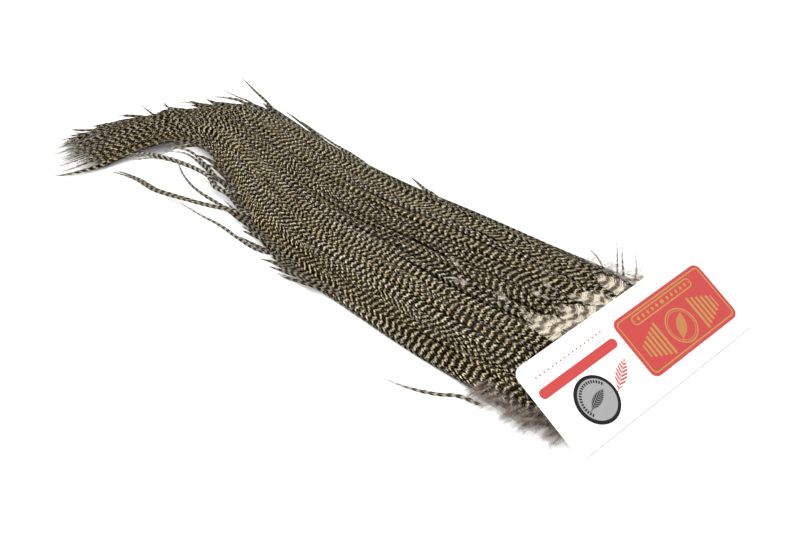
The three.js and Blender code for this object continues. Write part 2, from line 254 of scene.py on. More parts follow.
def bar_box(along, up, middle, half, height, half_height):
    """Distance to a level bar with square ends."""
    beside = (along - middle).math("ABSOLUTE") - half
    return beside.math("MAXIMUM", (up - height).math("ABSOLUTE") - half_height)


def drawn_feather(along, up, middle, height, half, width, turn, pitch):
    """Distance into a leaf-shaped vane with slanted barbs and a stem along its bare middle."""
    x = (along - middle) * math.cos(turn) + (up - height) * math.sin(turn)
    y = (up - height) * math.cos(turn) - (along - middle) * math.sin(turn)
    side = y.math("ABSOLUTE")
    swell = 1 - (x * (1 / half)).math("POWER", 2)
    vane = side - swell.math("MAXIMUM", 0) * width
    barbs = ((x - side * DRAWN_BARB["slant"]) * (1 / pitch)).math("FRACT") * pitch
    barbs = barbs - pitch * DRAWN_BARB["gap"]
    quill = width * DRAWN_QUILL - side
    stem_middle = half * DRAWN_STEM["middle"]
    stem = bar_box(x, y, stem_middle, half * DRAWN_STEM["half"], 0, width * DRAWN_STEM["half_height"])
    return vane.math("MAXIMUM", barbs).math("MAXIMUM", quill).math("MINIMUM", stem)


def rough(pattern, range_of):
    """Roughness that a pattern raises from its least value."""
    return pattern * range_of["spread"] + range_of["least"]


def dress(node, material):
    """One material over a whole node of the frame."""
    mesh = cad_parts[node].data
    mesh.materials.clear()
    mesh.materials.append(material)


card_material, graph = material_graph("coated_card")
along, up, out = flap_places(graph)
on_face = inside(graph, FACE_OUT - out)
bar = capsule(along, up, **BAR)
rules = [bar_box(along, up, *rule, RULE_THICKNESS / 2) for rule in RULES]
dot_step = (along - DOTS["from"]).math("MODULO", DOTS["pitch"]) - DOTS["pitch"] / 2
dots = length_of(dot_step, up - DOTS["up"]) - DOTS["radius"]
dot_run = (along - (DOTS["from"] + DOTS["to"]) / 2).math("ABSOLUTE") - (DOTS["to"] - DOTS["from"]) / 2
feather = drawn_feather(along, up, **CARD_FEATHER)
red_ink = inside(graph, bar.math("MINIMUM", feather)) * on_face
dark_shapes = rules[0].math("MINIMUM", rules[1]).math("MINIMUM", dots.math("MAXIMUM", dot_run))
dark_ink = inside(graph, dark_shapes) * on_face
fibres = graph.node("ShaderNodeTexNoise", {}, FIBRES)
scuffs = graph.node("ShaderNodeTexNoise", {}, SCUFFS)
to_edge = (along - CARD_WIDTH / 2).math("ABSOLUTE") - (CARD_WIDTH / 2 - EDGE_STRIP)
# Painted shade: the long cut edges, and a hair's width of the face beside them, turn grey.
board = mix(graph, inside(graph, 0 - to_edge) * EDGE_SHADE_SHARE, CARD_WHITE, EDGE_SHADE_GREY)
board = mix(graph, scuffs * SCUFF_SHARE, board, SCUFF_GREY)
# Painted shade: grey over the bend of the fold, where the flap's face ends.
board = mix(graph, inside(graph, up, FOLD_SHADE_REACH) * FOLD_SHADE_SHARE, board, FOLD_SHADE_GREY)
board = mix(graph, red_ink, board, INK_RED)
board = mix(graph, dark_ink, board, INK_DARK_RED)
grain = graph.node("ShaderNodeBump", {}, {**CARD_GRAIN, "Height": fibres})
give_surface(graph, {"Base Color": board, "Roughness": rough(scuffs, CARD_ROUGHNESS), "Normal": grain})
dress("backing_card", card_material)

# Label sticker: a glossy printed label stuck on the flap, red with gold lines.
# It has a border line, a banded strip, two rings round a plain feather, and stepped strokes at both sides.
LABEL = {"from": 0.0585, "to": 0.1225, "low": 0.0074, "high": 0.0394, "corner": 0.004}
LABEL_RED = (0.36, 0.017, 0.014, 1.0)
LABEL_DEEP_RED = (0.30, 0.014, 0.011, 1.0)
LABEL_GOLD = (0.33, 0.19, 0.03, 1.0)
LABEL_DEEP_GOLD = (0.24, 0.13, 0.02, 1.0)
DEEP_SHARE = {"red": 0.25, "gold": 0.6}
LABEL_FLECKS = {"Scale": 260.0, "Detail": 3.0}
LABEL_PRESS = {"Strength": 0.1, "Distance": 0.0001}
LABEL_ROUGHNESS = {"least": 0.28, "spread": 0.15}
LABEL_COAT = 0.3
BORDER_INSET = 0.0019
LINE = 0.00032
STRIP = {"up": 0.0338, "half": 0.0215, "half_height": 0.0022}
DIAMOND = {"shift": 0.0012, "pitch": 0.0034, "slope": 1.3, "half": 0.0012, "inset": 0.0009}
RING = {"up": 0.0195, "radius": 0.0086, "gap": 0.0011}
LABEL_FEATHER = {"half": 0.0066, "width": 0.0029, "turn": 0.9, "pitch": 0.0011}
STROKE = {"pitch": 0.0026, "width": 0.0013, "from": 0.0115, "to": 0.0285, "tallest": 0.0088, "step": 0.0011}


def rounded_box(x, y, half_x, half_y, radius):
    """Distance to a box with round corners."""
    dx = x.math("ABSOLUTE") - (half_x - radius)
    dy = y.math("ABSOLUTE") - (half_y - radius)
    corner = length_of(dx.math("MAXIMUM", 0), dy.math("MAXIMUM", 0))
    return corner + dx.math("MAXIMUM", dy).math("MINIMUM", 0) - radius


label_material, graph = material_graph("label_print")
along, up = flap_places(graph)[:2]
label_middle = (LABEL["from"] + LABEL["to"]) / 2
label_half = (LABEL["to"] - LABEL["from"]) / 2
label_half_height = (LABEL["high"] - LABEL["low"]) / 2
x = along - label_middle
y = up - (LABEL["low"] + LABEL["high"]) / 2
outline = rounded_box(x, y, label_half, label_half_height, LABEL["corner"])
border = (outline + BORDER_INSET).math("ABSOLUTE") - LINE
strip_y = up - STRIP["up"]
strip = rounded_box(x, strip_y, STRIP["half"], STRIP["half_height"], STRIP["half_height"])
strip_line = strip.math("ABSOLUTE") - LINE
diamond_x = (x.math("ABSOLUTE") + DIAMOND["shift"]).math("MODULO", DIAMOND["pitch"]) - DIAMOND["pitch"] / 2
diamonds = diamond_x.math("ABSOLUTE") * DIAMOND["slope"] + strip_y.math("ABSOLUTE") - DIAMOND["half"]
diamonds = diamonds.math("MAXIMUM", strip + DIAMOND["inset"])
ring_y = up - RING["up"]
ring_distance = length_of(x, ring_y) - RING["radius"]
inner_ring = (ring_distance + RING["gap"]).math("ABSOLUTE") - LINE / 2
rings = (ring_distance.math("ABSOLUTE") - LINE).math("MINIMUM", inner_ring)
feather = drawn_feather(along, up, label_middle, RING["up"], **LABEL_FEATHER)
from_middle = x.math("ABSOLUTE") - STROKE["from"]
stroke_x = from_middle.math("MODULO", STROKE["pitch"]) - STROKE["pitch"] / 2
stroke_x = stroke_x.math("ABSOLUTE") - STROKE["width"] / 2
stroke_run = STROKE["to"] - STROKE["from"] - STROKE["pitch"]
stroke_span = (from_middle * -1).math("MAXIMUM", from_middle - stroke_run)
step = (from_middle * (1 / STROKE["pitch"])).math("FLOOR")
stroke_y = ring_y.math("ABSOLUTE") - (STROKE["tallest"] - step * STROKE["step"])
strokes = stroke_x.math("MAXIMUM", stroke_span).math("MAXIMUM", stroke_y)
gold = border
for shape in (strip_line, diamonds, rings, feather, strokes):
    gold = gold.math("MINIMUM", shape)
flecks = graph.node("ShaderNodeTexNoise", {}, LABEL_FLECKS)
ground = mix(graph, flecks * DEEP_SHARE["red"], LABEL_RED, LABEL_DEEP_RED)
foil = mix(graph, flecks * DEEP_SHARE["gold"], LABEL_GOLD, LABEL_DEEP_GOLD)
label_colour = mix(graph, inside(graph, gold), ground, foil)
press = graph.node("ShaderNodeBump", {}, {**LABEL_PRESS, "Height": flecks})
give_surface(graph, {"Base Color": label_colour, "Roughness": rough(flecks, LABEL_ROUGHNESS),
                     "Normal": press, "Coat Weight": LABEL_COAT})
dress("label_sticker", label_material)

# Grade sticker: a round satin grey sticker stuck on the flap, with a black ring.
# Its face has a ring of short dashes and a plain feather mark, and its cut edge is slightly rounded.
GRADE = {"along": 0.0261, "up": 0.016, "radius": 0.0116, "ring": 0.0017}
GRADE_GREY = (0.24, 0.24, 0.242, 1.0)
GRADE_DEEP_GREY = (0.20, 0.20, 0.204, 1.0)
GRADE_DEEP_SHARE = 0.3
GRADE_BLACK = (0.005, 0.005, 0.005, 1.0)
GRADE_FLECKS = {"Scale": 420.0, "Detail": 2.0}
GRADE_PRESS = {"Strength": 0.08, "Distance": 0.0001}
GRADE_ROUGHNESS = {"least": 0.3, "spread": 0.1}
GRADE_SPECULAR = 0.15
GRADE_FEATHER = {"half": 0.0062, "width": 0.0023, "turn": 0.35, "pitch": 0.0013}
DASHES = {"count": 40, "offset": 100, "low": 0.0077, "high": 0.0091, "pitch": 0.0013, "half": 0.0004}
DASH_CUT = {"slope": 0.6, "up": 0.001}
RIM_SIDES = 96
EDGE_ROUND = 0.00012
FLAP_AXES = np.array([(0, 1, 0), (-math.cos(FLAP_ANGLE), 0, math.sin(FLAP_ANGLE)),
                      (math.sin(FLAP_ANGLE), 0, math.cos(FLAP_ANGLE))])

grade_material, graph = material_graph("grade_print")
along, up = flap_places(graph)[:2]
x = along - GRADE["along"]
y = up - GRADE["up"]
radius = length_of(x, y)
ring = (GRADE["radius"] - GRADE["ring"]) - radius
turn = y.math("ARCTAN2", x) * (DASHES["count"] / math.tau)
dash = ((turn + DASHES["offset"]).math("FRACT") - 0.5).math("ABSOLUTE") * DASHES["pitch"] - DASHES["half"]
dash_y = (radius - (DASHES["low"] + DASHES["high"]) / 2).math("ABSOLUTE")
dash_y = dash_y - (DASHES["high"] - DASHES["low"]) / 2
dash = dash.math("MAXIMUM", dash_y).math("MAXIMUM", x * DASH_CUT["slope"] - y - DASH_CUT["up"])
feather = drawn_feather(along, up, GRADE["along"], GRADE["up"], **GRADE_FEATHER)
black = inside(graph, ring.math("MINIMUM", dash).math("MINIMUM", feather))
flecks = graph.node("ShaderNodeTexNoise", {}, GRADE_FLECKS)
satin = mix(graph, flecks * GRADE_DEEP_SHARE, GRADE_GREY, GRADE_DEEP_GREY)
grade_colour = mix(graph, black, satin, GRADE_BLACK)
press = graph.node("ShaderNodeBump", {}, {**GRADE_PRESS, "Height": flecks})
give_surface(graph, {"Base Color": grade_colour, "Roughness": rough(flecks, GRADE_ROUGHNESS),
                     "Normal": press, "Specular IOR Level": GRADE_SPECULAR})

flap_hinge = fold_near_end + np.array([-FOLD_REACH, 0, FOLD_HEIGHT])
solid_points = np.array([corner.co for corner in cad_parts["grade_sticker"].data.vertices])
solid_outs = (solid_points - flap_hinge) @ FLAP_AXES[2]
rim = [(GRADE["radius"], solid_outs.min()), (GRADE["radius"], solid_outs.max() - EDGE_ROUND),
       (GRADE["radius"] - EDGE_ROUND, solid_outs.max())]
turns = np.linspace(0, math.tau, RIM_SIDES, endpoint=False)
rim_places = [(reach * math.cos(turn), reach * math.sin(turn), out) for reach, out in rim for turn in turns]
disc_points = (np.array(rim_places) + (GRADE["along"], GRADE["up"], 0)) @ FLAP_AXES + flap_hinge
disc_faces = [(k + RIM_SIDES * level, (k + 1) % RIM_SIDES + RIM_SIDES * level,
               (k + 1) % RIM_SIDES + RIM_SIDES * (level + 1), k + RIM_SIDES * (level + 1))
              for level in range(2) for k in range(RIM_SIDES)]
disc_faces.append(tuple(range(2 * RIM_SIDES, 3 * RIM_SIDES)))
disc_faces.append(tuple(reversed(range(RIM_SIDES))))
disc_mesh = bpy.data.meshes.new("grade_disc")
disc_mesh.from_pydata(disc_points.tolist(), [], disc_faces)
disc_mesh.materials.append(grade_material)
shell = bmesh.new()
shell.from_mesh(disc_mesh)
bmesh.ops.recalc_face_normals(shell, faces=shell.faces)
shell.to_mesh(disc_mesh)
shell.free()
grade_disc = link("grade_disc", disc_mesh)
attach(grade_disc, "root")
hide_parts("grade_sticker")

# Hackle sheaf: several hundred long saddle hackles that grow from one skin and run out in a curved tail.
# Each hackle is a quill with barbs on both sides, barred black-brown and cream, laid over its neighbours.
# Rows across the sheaf from the butt to the tips: near edge x y, far edge x y, underside and depth, in mm.
SHEAF_ROWS = np.array([
    (-14, 12, -14, 98, 2.4, 4.5), (-30, 4, -30, 109, 1.8, 15), (-60, 2, -60, 113, 1.1, 18),
    (-105, 1, -105, 110, 0.9, 17.5), (-160, 3, -160, 107, 0.9, 16), (-210, 5, -213, 103, 1.0, 14),
    (-255, 16, -262, 101, 2.6, 12), (-299, 34, -308, 99, 6.8, 10.5), (-330, 41, -345, 89, 11.8, 8),
    (-351, 37, -369, 73, 10.2, 6.5), (-363, 26, -389, 56, 7, 7), (-370, 11, -406, 32, 4, 7),
    (-374, -6, -417, 8, 1.8, 6), (-381, -22, -422, -9, 0.9, 4), (-393, -38, -426, -26, 0.6, 2),
], float)
DOME_POWER = 2.6
TYPICAL_SPAN = 100.0
TYPICAL_DEPTH = 16.0
GIRTH_STEPS = 2001
SHARE_STEP = 0.01
FLOOR_GAP = 0.0003
ROOT_WIDTH = 0.45
TIP_WIDTH = 0.28
TIP_POWER = 0.8
BARB = {"Barb spacing": 0.0007, "Barb width": 0.56, "Barb points": 3, "Sweep": 1.3, "Droop": 0.06,
        "Frizz": 0.00015, "Wobble": 1.0, "Quill spacing": 0.014, "Quill width": 0.04}
BARB_TURN = (0.02, 0.02, 0.07)
BARB_SIZES = (0.88, 1.10)
BARB_LIFT = 0.06
BARB_NARROWING = 0.12
FRIZZ_WAVES = {"Scale": 160.0, "Detail": 2.0}
QUILL_SIDES = 3
QUILL_MARK = -1.0


def curve_through(rows, place):
    """A smooth curve through rows of numbers, read at places counted in rows."""
    first = np.minimum(place.astype(int), len(rows) - 2)
    t = (place - first)[..., None]
    padded = np.vstack([2 * rows[0] - rows[1], rows, 2 * rows[-1] - rows[-2]])
    a, b, c, d = (padded[first + k] for k in range(4))
    return 0.5 * (2 * b + (c - a) * t + (2 * a - 5 * b + 4 * c - d) * t**2 + (3 * b - 3 * c + d - a) * t**3)


def along_rows(share):
    """The sheaf's rows read smoothly at shares of the way from the butt to the tips."""
    return curve_through(SHEAF_ROWS, np.clip(share, 0, 1) * (len(SHEAF_ROWS) - 1))


def dome(u):
    """The height of the sheaf's top at a share u across it, as a share of its depth."""
    return np.sqrt(np.maximum(1 - np.abs(2 * u - 1) ** DOME_POWER, 0))


even_u = np.linspace(0, 1, GIRTH_STEPS)
girth = np.concatenate([[0], np.cumsum(np.hypot(
    np.diff(even_u) * TYPICAL_SPAN, np.diff(dome(even_u)) * TYPICAL_DEPTH))])


def across_share(q):
    """The share across the sheaf at a share q of the way round its top, from the near to the far edge."""
    return np.interp(q, girth / girth[-1], even_u)


def sheaf_points(u, share, rise):
    """Points of the sheaf in mm, at a share u across it and a share along it; rise 1 is its top."""
    rows = along_rows(share)
    near, far = rows[..., 0:2], rows[..., 2:4]
    flat = near + (far - near) * u[..., None]
    z = rows[..., 4] + rise * rows[..., 5] * dome(u)
    return np.concatenate([flat, z[..., None]], axis=-1)


def unit(vectors):
    return vectors / np.maximum(np.linalg.norm(vectors, axis=-1, keepdims=True), 1e-9)


def sheaf_up(u, share, rise):
    """The way that points out of the sheaf's top."""
    near = sheaf_points(np.clip(u - SHARE_STEP, 0, 1), share, rise)
    far = sheaf_points(np.clip(u + SHARE_STEP, 0, 1), share, rise)
    ahead = sheaf_points(u, share + SHARE_STEP, rise) - sheaf_points(u, share - SHARE_STEP, rise)
    return unit(np.cross(unit(far - near), unit(ahead)))


def rolled(up, points, roll):
    """Up vectors at the points of each path, turned about the path by a roll."""
    up = np.broadcast_to(up, points.shape)
    side = np.cross(unit(np.gradient(points, axis=-2)), up)
    return unit(up * np.cos(roll)[..., None] + side * np.sin(roll)[..., None])


def vane_taper(t, full_by=0.08, narrow_from=0.95):
    """A hackle's half width along it: full soon after the root, and narrowed at the tip."""
    root = np.clip(ROOT_WIDTH + t / full_by, 0, 1)
    tip = np.clip((1 - t) / (1 - narrow_from), 0, 1)
    return root * (TIP_WIDTH + (1 - TIP_WIDTH) * tip**TIP_POWER)


def hackle_paths(name, points, half_widths, ups, tints):
    """One mesh line for each hackle, with its half width, up vector and tint at every point."""
    count, steps = points.shape[:2]
    mesh = bpy.data.meshes.new(name)
    starts = (np.arange(count)[:, None] * steps + np.arange(steps - 1)).ravel()
    edges = np.stack([starts, starts + 1], axis=1)
    mesh.from_pydata(from_fold(points.reshape(-1, 3)).tolist(), edges.tolist(), [])
    widths = np.broadcast_to(half_widths / 1000, (count, steps))
    tints = np.broadcast_to(tints[:, None], (count, steps))
    for attribute, kind, field, values in (
            ("half_width", "FLOAT", "value", widths), ("up", "FLOAT_VECTOR", "vector", ups),
            ("tint", "FLOAT", "value", tints)):
        data = mesh.attributes.new(attribute, kind, "POINT").data
        data.foreach_set(field, np.ascontiguousarray(values, np.float32).ravel())
    return mesh


def hackle_tree():
    """Geometry nodes that set a pair of barbs at every station of a quill, and add the quill itself."""
    tree = bpy.data.node_groups.new("hackle", "GeometryNodeTree")
    tree.is_modifier = True
    inputs = {"Paths": "Geometry", "Barb spacing": "Float", "Barb width": "Float", "Barb points": "Int",
              "Sweep": "Float", "Droop": "Float", "Frizz": "Float", "Wobble": "Float",
              "Quill spacing": "Float", "Quill width": "Float", "Seed": "Int", "Material": "Material"}
    for name, kind in inputs.items():
        tree.interface.new_socket(name=name, in_out="INPUT", socket_type="NodeSocket" + kind)
    tree.interface.new_socket(name="Hackles", in_out="OUTPUT", socket_type="NodeSocketGeometry")
    graph = Graph(tree)
    given = graph.node("NodeGroupInput")

    def store(geometry, name, value):
        settings = {"data_type": "FLOAT", "domain": "POINT"}
        values = {"Geometry": geometry, "Name": name, "Value": value}
        return graph.node("GeometryNodeStoreNamedAttribute", settings, values)

    def read(name, kind="FLOAT"):
        return graph.node("GeometryNodeInputNamedAttribute", {"data_type": kind}, {"Name": name}, "Attribute")

    def stations(spacing):
        values = {"Curve": lines, "Length": spacing}
        spaced = graph.node("GeometryNodeResampleCurve", {"mode": "LENGTH"}, values)
        return store(spaced, "along", graph.node("GeometryNodeSplineParameter", output="Length"))

    lines = graph.node("GeometryNodeMeshToCurve", {}, {"Mesh": given.other("Paths")})
    roots = [stations(given.other("Barb spacing"))]
    roots = graph.node("GeometryNodeCurveToPoints", {"mode": "EVALUATED"}, roots)
    axes = [read("up", "FLOAT_VECTOR"), roots.other("Tangent")]
    facing = graph.node("FunctionNodeAxesToRotation", {"primary_axis": "Z", "secondary_axis": "X"}, axes)
    turns = {"Min": [-angle for angle in BARB_TURN], "Max": BARB_TURN, "Seed": given.other("Seed")}
    turns = graph.node("FunctionNodeRandomValue", {"data_type": "FLOAT_VECTOR"}, turns)
    turns = {"Vector": turns, "Scale": given.other("Wobble")}
    turns = graph.node("ShaderNodeVectorMath", {"operation": "SCALE"}, turns)
    turned = graph.node("FunctionNodeEulerToRotation", {}, [turns])
    facing = graph.node("FunctionNodeRotateRotation", {"rotation_space": "LOCAL"}, [facing, turned])
    sizes = {"Min": BARB_SIZES[0], "Max": BARB_SIZES[1], "Seed": given.other("Seed")}
    sizes = graph.node("FunctionNodeRandomValue", {"data_type": "FLOAT"}, sizes) * read("half_width")

    grid = {"Size X": given.other("Barb width"), "Size Y": 2.0, "Vertices X": 2,
            "Vertices Y": given.other("Barb points")}
    grid = graph.node("GeometryNodeMeshGrid", {}, grid)
    place = graph.node("ShaderNodeSeparateXYZ", {}, [graph.node("GeometryNodeInputPosition")])
    reach = place.other("Y").math("ABSOLUTE")
    bow = place * BARB_LIFT - reach * reach * given.other("Droop")
    shift = [place * reach * -BARB_NARROWING + reach * given.other("Sweep"), 0.0, bow]
    offset = graph.node("ShaderNodeCombineXYZ", {}, shift)
    pair = graph.node("GeometryNodeSetPosition", {}, {"Geometry": grid, "Offset": offset})
    pair = store(store(pair, "barb", reach), "ahead", place)
    values = {"Points": roots, "Instance": pair, "Rotation": facing, "Scale": sizes}
    barbs = graph.node("GeometryNodeInstanceOnPoints", {}, values)
    barbs = graph.node("GeometryNodeRealizeInstances", {}, [barbs])
    barbs = store(barbs, "along", read("along") + read("ahead") * read("half_width"))
    waves = graph.node("ShaderNodeTexNoise", {}, FRIZZ_WAVES, "Color")
    waves = graph.node("ShaderNodeVectorMath", {"operation": "SUBTRACT"}, [waves, (0.5, 0.5, 0.5)])
    strength = read("barb") * given.other("Frizz")
    waves = graph.node("ShaderNodeVectorMath", {"operation": "SCALE"}, {"Vector": waves, "Scale": strength})
    barbs = graph.node("GeometryNodeSetPosition", {}, {"Geometry": barbs, "Offset": waves})

    wire = graph.node("GeometryNodeCurvePrimitiveCircle", {}, {"Resolution": QUILL_SIDES, "Radius": 1.0})
    quill = {"Curve": stations(given.other("Quill spacing")), "Profile Curve": wire,
             "Scale": read("half_width") * given.other("Quill width")}
    quill = store(graph.node("GeometryNodeCurveToMesh", {}, quill), "barb", QUILL_MARK)
    joined = graph.node("GeometryNodeJoinGeometry", {}, [barbs])
    graph.tree.links.new(quill.socket, joined.socket.node.inputs[0])
    clear = [place, place.other("Y"), place.other("Z").math("MAXIMUM", FLOOR_GAP)]
    clear = graph.node("ShaderNodeCombineXYZ", {}, clear)
    joined = graph.node("GeometryNodeSetPosition", {}, {"Geometry": joined, "Position": clear})
    dressed = {"Geometry": joined, "Material": given.other("Material")}
    dressed = graph.node("GeometryNodeSetMaterial", {}, dressed)
    graph.node("NodeGroupOutput", {}, [dressed])
    return tree


hackle_nodes = hackle_tree()


def grow_hackles(name, paths, values):
    """Hackles on their paths, made into a plain mesh that rides on the root."""
    piece = link(name, paths)
    modifier = piece.modifiers.new("hackle", "NODES")
    modifier.node_group = hackle_nodes
    for item in hackle_nodes.interface.items_tree:
        if item.in_out == "INPUT" and item.name in values:
            modifier[item.identifier] = values[item.name]
    depsgraph = bpy.context.evaluated_depsgraph_get()
    mesh = bpy.data.meshes.new_from_object(
        piece.evaluated_get(depsgraph), preserve_all_data_layers=True, depsgraph=depsgraph)
    piece.modifiers.clear()
    piece.data = mesh
    bpy.data.meshes.remove(paths)
    mesh.name = name
    mesh.shade_smooth()
    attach(piece, "root")
    return piece


BAR_PITCH = 0.0043
BAR_SLANT = 0.0005
BAR_SOFT = 0.10
BAR_NOISE = {"Scale": 240.0, "Detail": 1.0}
BAR_UNEVEN = 0.5
PATCH_NOISE = {"Scale": 130.0, "Detail": 2.0}
MOTTLE = 0.9
PITCH_SPREAD = 0.24
TINT_TURNS = {"pitch": 5.7, "start": 31.7, "warmth": 7.3}
RIM_POWER = 4.0
HACKLE_DARK = (0.002, 0.0015, 0.001, 1.0)
HACKLE_BROWN = (0.008, 0.005, 0.002, 1.0)
HACKLE_CREAM = (0.90, 0.83, 0.64, 1.0)
HACKLE_GOLD = (0.82, 0.67, 0.38, 1.0)
HACKLE_ROUGHNESS = {"least": 0.5, "spread": 0.2}
QUILL_TAN = (0.30, 0.24, 0.14, 1.0)
QUILL_SHARE = 0.4
PALE_END = (0.88, 0.87, 0.86, 1.0)
# The sheaf's barbs darken near the quill, the web's own colour, and at their tips, which is painted shade
# between strands.
SHEAF_BARS = {"light": HACKLE_CREAM, "golden": HACKLE_GOLD, "paleness": 0.068, "dark_web_and_tip_shade": 0.4}


def hackle_material(name, light, golden, paleness, dark=HACKLE_DARK, brown=HACKLE_BROWN, pitch=BAR_PITCH,
                    soft=BAR_SOFT, slant=BAR_SLANT, pale_ends=0.0, dark_web_and_tip_shade=0.0):
    """Barred barbs: pale and dark bars cross the hackle, as wide as each other at a paleness of 0.5.

    Each hackle's tint sets its own pitch, start and warmth. Barbs may have pale ends, a darker web near the
    quill, and painted shade at their tips.
    """
    made, graph = material_graph(name)

    def read(attribute):
        return graph.node("ShaderNodeAttribute", {"attribute_name": attribute}, output="Fac")

    along, barb, tint = read("along"), read("barb"), read("tint")
    noise = graph.node("ShaderNodeTexNoise", {}, BAR_NOISE)
    uneven = noise * BAR_UNEVEN - BAR_UNEVEN / 2
    patches = graph.node("ShaderNodeTexNoise", {}, PATCH_NOISE) - 0.5
    stretch = (tint * TINT_TURNS["pitch"]).math("FRACT") * PITCH_SPREAD + (1 - PITCH_SPREAD / 2)
    place = (along + barb * slant) * stretch * (1 / pitch) + tint * TINT_TURNS["start"] + uneven
    wave = (place * math.tau).math("SINE") + (paleness - 0.5) * 2 + patches * MOTTLE
    # Darker near the quill, the web's own colour; darker at the barb tips, painted shade where strands
    # overlap.
    if dark_web_and_tip_shade:
        wave = wave - (barb * 2 - 1).math("POWER", RIM_POWER) * dark_web_and_tip_shade
    bars = {"Value": wave, "From Min": -soft, "From Max": soft}
    bars = graph.node("ShaderNodeMapRange", {"interpolation_type": "SMOOTHSTEP"}, bars)
    warmth = (tint * TINT_TURNS["warmth"]).math("FRACT")
    pale = mix(graph, warmth, light, golden)
    deep = mix(graph, noise, dark, brown)
    colour = mix(graph, bars, deep, pale)
    if pale_ends:
        colour = mix(graph, barb * barb.math("ABSOLUTE") * pale_ends, colour, PALE_END)
    on_quill = barb.math("LESS_THAN", QUILL_MARK / 2)
    colour = mix(graph, on_quill * QUILL_SHARE, colour, QUILL_TAN)
    give_surface(graph, {"Base Color": colour, "Roughness": rough(noise, HACKLE_ROUGHNESS),
                         "Specular IOR Level": 0.0})
    return made


barred = hackle_material("barred_hackle", **SHEAF_BARS)

HACKLE_HALF_WIDTH = 1.9
WIDTHS = (0.8, 1.15)
PATH_POINTS = 56
PLACES = (0.1, 0.9)
EDGE_MARGIN = 0.015
RIM_MARGIN = 0.008
KIN = 3
KIN_TINT = 0.004
START_JITTER = 0.0015
TAIL_ENDS = (0.85, 1.0)
TAIL_THINNING = 2.1
DRIFT = 0.022
SWAY = 0.011
SWAYS = (1, 3)
TIP_LOCKS = 12
LOCKS_FROM = 0.88
LOCK_PULL = 0.8
LOCK_POWER = 1.3
LOCK_MARGIN = 0.02
WEAVES = (1.5, 4)
LOOSENESS = {"least": 0.25, "spread": 2.5, "power": 5}
LEAN_GROUPS = 2.3
LEAN_SHIFT = 0.1
LEAN_TURN = (0.48, 0.62)
ROLL = 0.15
ROLL_JITTER = 0.04
FLATTEN = 0.6
DEEP_LAYER = 0.85
DEEP_SHORTER = 0.08
DEEP_BARB = {"Barb spacing": 0.0015, "Barb width": 1.1}
LAYERS = {
    "hackles_top": {"count": 72, "seed": 11, "rise": 1.0, "sink": 0.02, "start": (0.0, 0.10),
                    "ends": (0.45, 0.9), "tail_share": 0.55},
    "hackles_second": {"count": 72, "seed": 12, "rise": 0.92, "sink": 0.03, "start": (0.0, 0.10),
                       "ends": (0.5, 0.95), "tail_share": 0.5},
    "hackles_third": {"count": 80, "seed": 13, "rise": 0.82, "sink": 0.06, "start": (0.0, 0.08),
                      "ends": (0.5, 0.95), "tail_share": 0.5},
    "hackles_lower": {"count": 60, "seed": 14, "rise": 0.6, "sink": 0.3, "start": (0.0, 0.05),
                      "ends": (0.6, 0.95), "tail_share": 0.5},
    "hackles_underside": {"count": 60, "seed": 15, "rise": 0.12, "sink": 0.1, "start": (0.0, 0.05),
                          "ends": (0.6, 0.95), "tail_share": 0.5},
}


def sheaf_layer(count, seed, rise, sink, start, ends, tail_share):
    """Hackles side by side over the sheaf's top, each weaving up and down between its neighbours.

    Neighbours of one kin start together and share a tint. Towards the tail they gather in locks.
    """
    chance = np.random.default_rng(seed)
    t = np.linspace(0, 1, PATH_POINTS)[None, :]
    q0 = (np.arange(count) + chance.uniform(*PLACES, count)) / count
    kin = np.arange(count) // KIN
    first = chance.uniform(*start, count)[kin] + chance.normal(0, START_JITTER, count)
    in_tail = chance.random(count) < tail_share
    tail_end = TAIL_ENDS[0] + (TAIL_ENDS[1] - TAIL_ENDS[0]) * chance.random(count) ** TAIL_THINNING
    tail_end = np.minimum(tail_end, TAIL_ENDS[1] - DEEP_SHORTER * (rise < DEEP_LAYER))
    last = np.where(in_tail, tail_end, chance.uniform(*ends, count))
    share = first[:, None] + (last - first)[:, None] * t
    drift = chance.normal(0, DRIFT, count)[:, None] * t**2
    sway = share * chance.uniform(*SWAYS, count)[:, None] + chance.random(count)[:, None]
    q = EDGE_MARGIN + (1 - 2 * EDGE_MARGIN) * q0[:, None] + drift + SWAY * np.sin(math.tau * sway)
    u = np.clip(across_share(np.clip(q, 0, 1)), RIM_MARGIN, 1 - RIM_MARGIN)
    lock = across_share(np.round(q0 * TIP_LOCKS) / TIP_LOCKS)
    lock = np.clip(lock, LOCK_MARGIN, 1 - LOCK_MARGIN)[:, None]
    gather = np.clip((share - LOCKS_FROM) / (1 - LOCKS_FROM), 0, 1) ** LOCK_POWER * LOCK_PULL
    u = u + (lock - u) * gather
    weave = share * chance.uniform(*WEAVES, count)[:, None] + chance.random(count)[:, None]
    weave = 0.5 + 0.5 * np.sin(math.tau * weave)
    looseness = chance.random(count)[:, None] ** LOOSENESS["power"]
    looseness = LOOSENESS["least"] + LOOSENESS["spread"] * looseness
    height = rise - sink * weave * looseness
    points = sheaf_points(u, share, height)
    lean = np.sign(np.sin(math.tau * (LEAN_GROUPS * q0 + LEAN_SHIFT * seed)))[:, None]
    turned = np.clip((share - LEAN_TURN[0]) / (LEAN_TURN[1] - LEAN_TURN[0]), 0, 1)
    roll = ROLL * (lean + (1 - lean) * turned) + chance.normal(0, ROLL_JITTER, count)[:, None]
    ups = rolled(unit(sheaf_up(u, share, height) + np.array([0, 0, FLATTEN])), points, roll)
    half_widths = HACKLE_HALF_WIDTH * chance.uniform(*WIDTHS, count)[:, None] * vane_taper(t)
    tints = chance.random(count)[kin] + chance.normal(0, KIN_TINT, count)
    return points, half_widths, ups, tints


for name, layer in LAYERS.items():
    paths = hackle_paths(name, *sheaf_layer(**layer))
    barb = {**BARB, "Seed": layer["seed"], "Material": barred}
    if layer["rise"] < DEEP_LAYER:
        barb.update(DEEP_BARB)
    piece = grow_hackles(name, paths, barb)
    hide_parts("hackle_sheaf")

